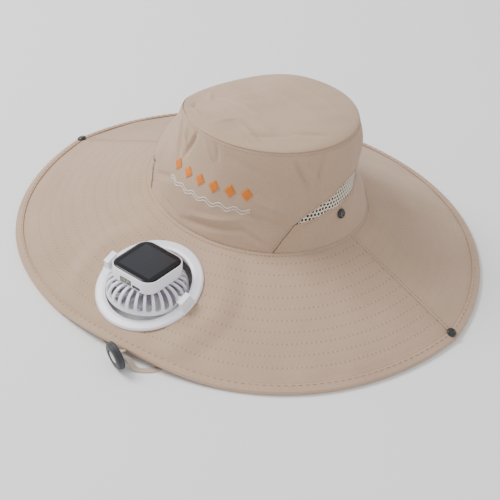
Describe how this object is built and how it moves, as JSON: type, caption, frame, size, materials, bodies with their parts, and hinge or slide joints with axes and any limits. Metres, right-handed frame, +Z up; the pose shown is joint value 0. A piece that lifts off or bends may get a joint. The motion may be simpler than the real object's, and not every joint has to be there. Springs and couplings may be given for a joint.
{
  "type": "solar fan hat",
  "caption": "Wide-brimmed cloth sun hat with a net band, and a small tilting fan under a solar panel set in its front brim.",
  "frame": {"origin": "on the surface that the hat rests on, under the middle of the brim's width and depth", "axes": "+Z up, -Y towards the front of the hat, X across it"},
  "size_m": [0.4376, 0.3945, 0.1467],
  "materials": {
    "cloth": "matt woven cotton, stitched",
    "net": "cream net",
    "strap": "soft flat tape",
    "white_plastic": "satin moulded",
    "solar_glass": "dark polished panel",
    "display": "clear window over a display",
    "black_stud": "glossy",
    "grey_plastic": "satin moulded",
    "metal": "plain can",
    "charcoal_plastic": "soft matt",
    "cream_plastic": "soft matt"
  },
  "bodies": {
    "hat": {"crown_top": "cloth", "crown_panel": "cloth", "mesh_panel": "net", "crown_band": "cloth", "brim_front": "cloth", "brim_back": "cloth", "brim_binding": "cloth", "crown_snap_right": "black_stud", "crown_snap_left": "black_stud", "brim_snap_right": "black_stud", "brim_snap_left": "black_stud", "fan_ring": "white_plastic", "fan_clamp_ring": "white_plastic", "strap_right": "strap", "strap_left": "strap", "strap_toggle": "charcoal_plastic", "toggle_insert": "cream_plastic"},
    "fan_head": {"fan_grille": "white_plastic", "fan_guard": "white_plastic", "hinge_pin_right": "white_plastic", "hinge_pin_left": "white_plastic", "power_case": "white_plastic", "solar_panel": "solar_glass", "display_window": "display", "usb_port": "black_stud", "fan_motor": "metal"},
    "impeller": {"fan_impeller": "grey_plastic"}
  },
  "joints": [
    {"name": "fan_tilt", "type": "hinge", "parent": "hat", "child": "fan_head", "pos_m": [0.002, -0.13186, 0.03408], "axis": [1, 0, 0], "range_deg": [-40, 35]},
    {"name": "impeller_spin", "type": "hinge", "parent": "fan_head", "child": "impeller", "pos_m": [0.002, -0.13186, 0.03408], "axis": [0, 0.029, 0.9996], "continuous": true}
  ]
}
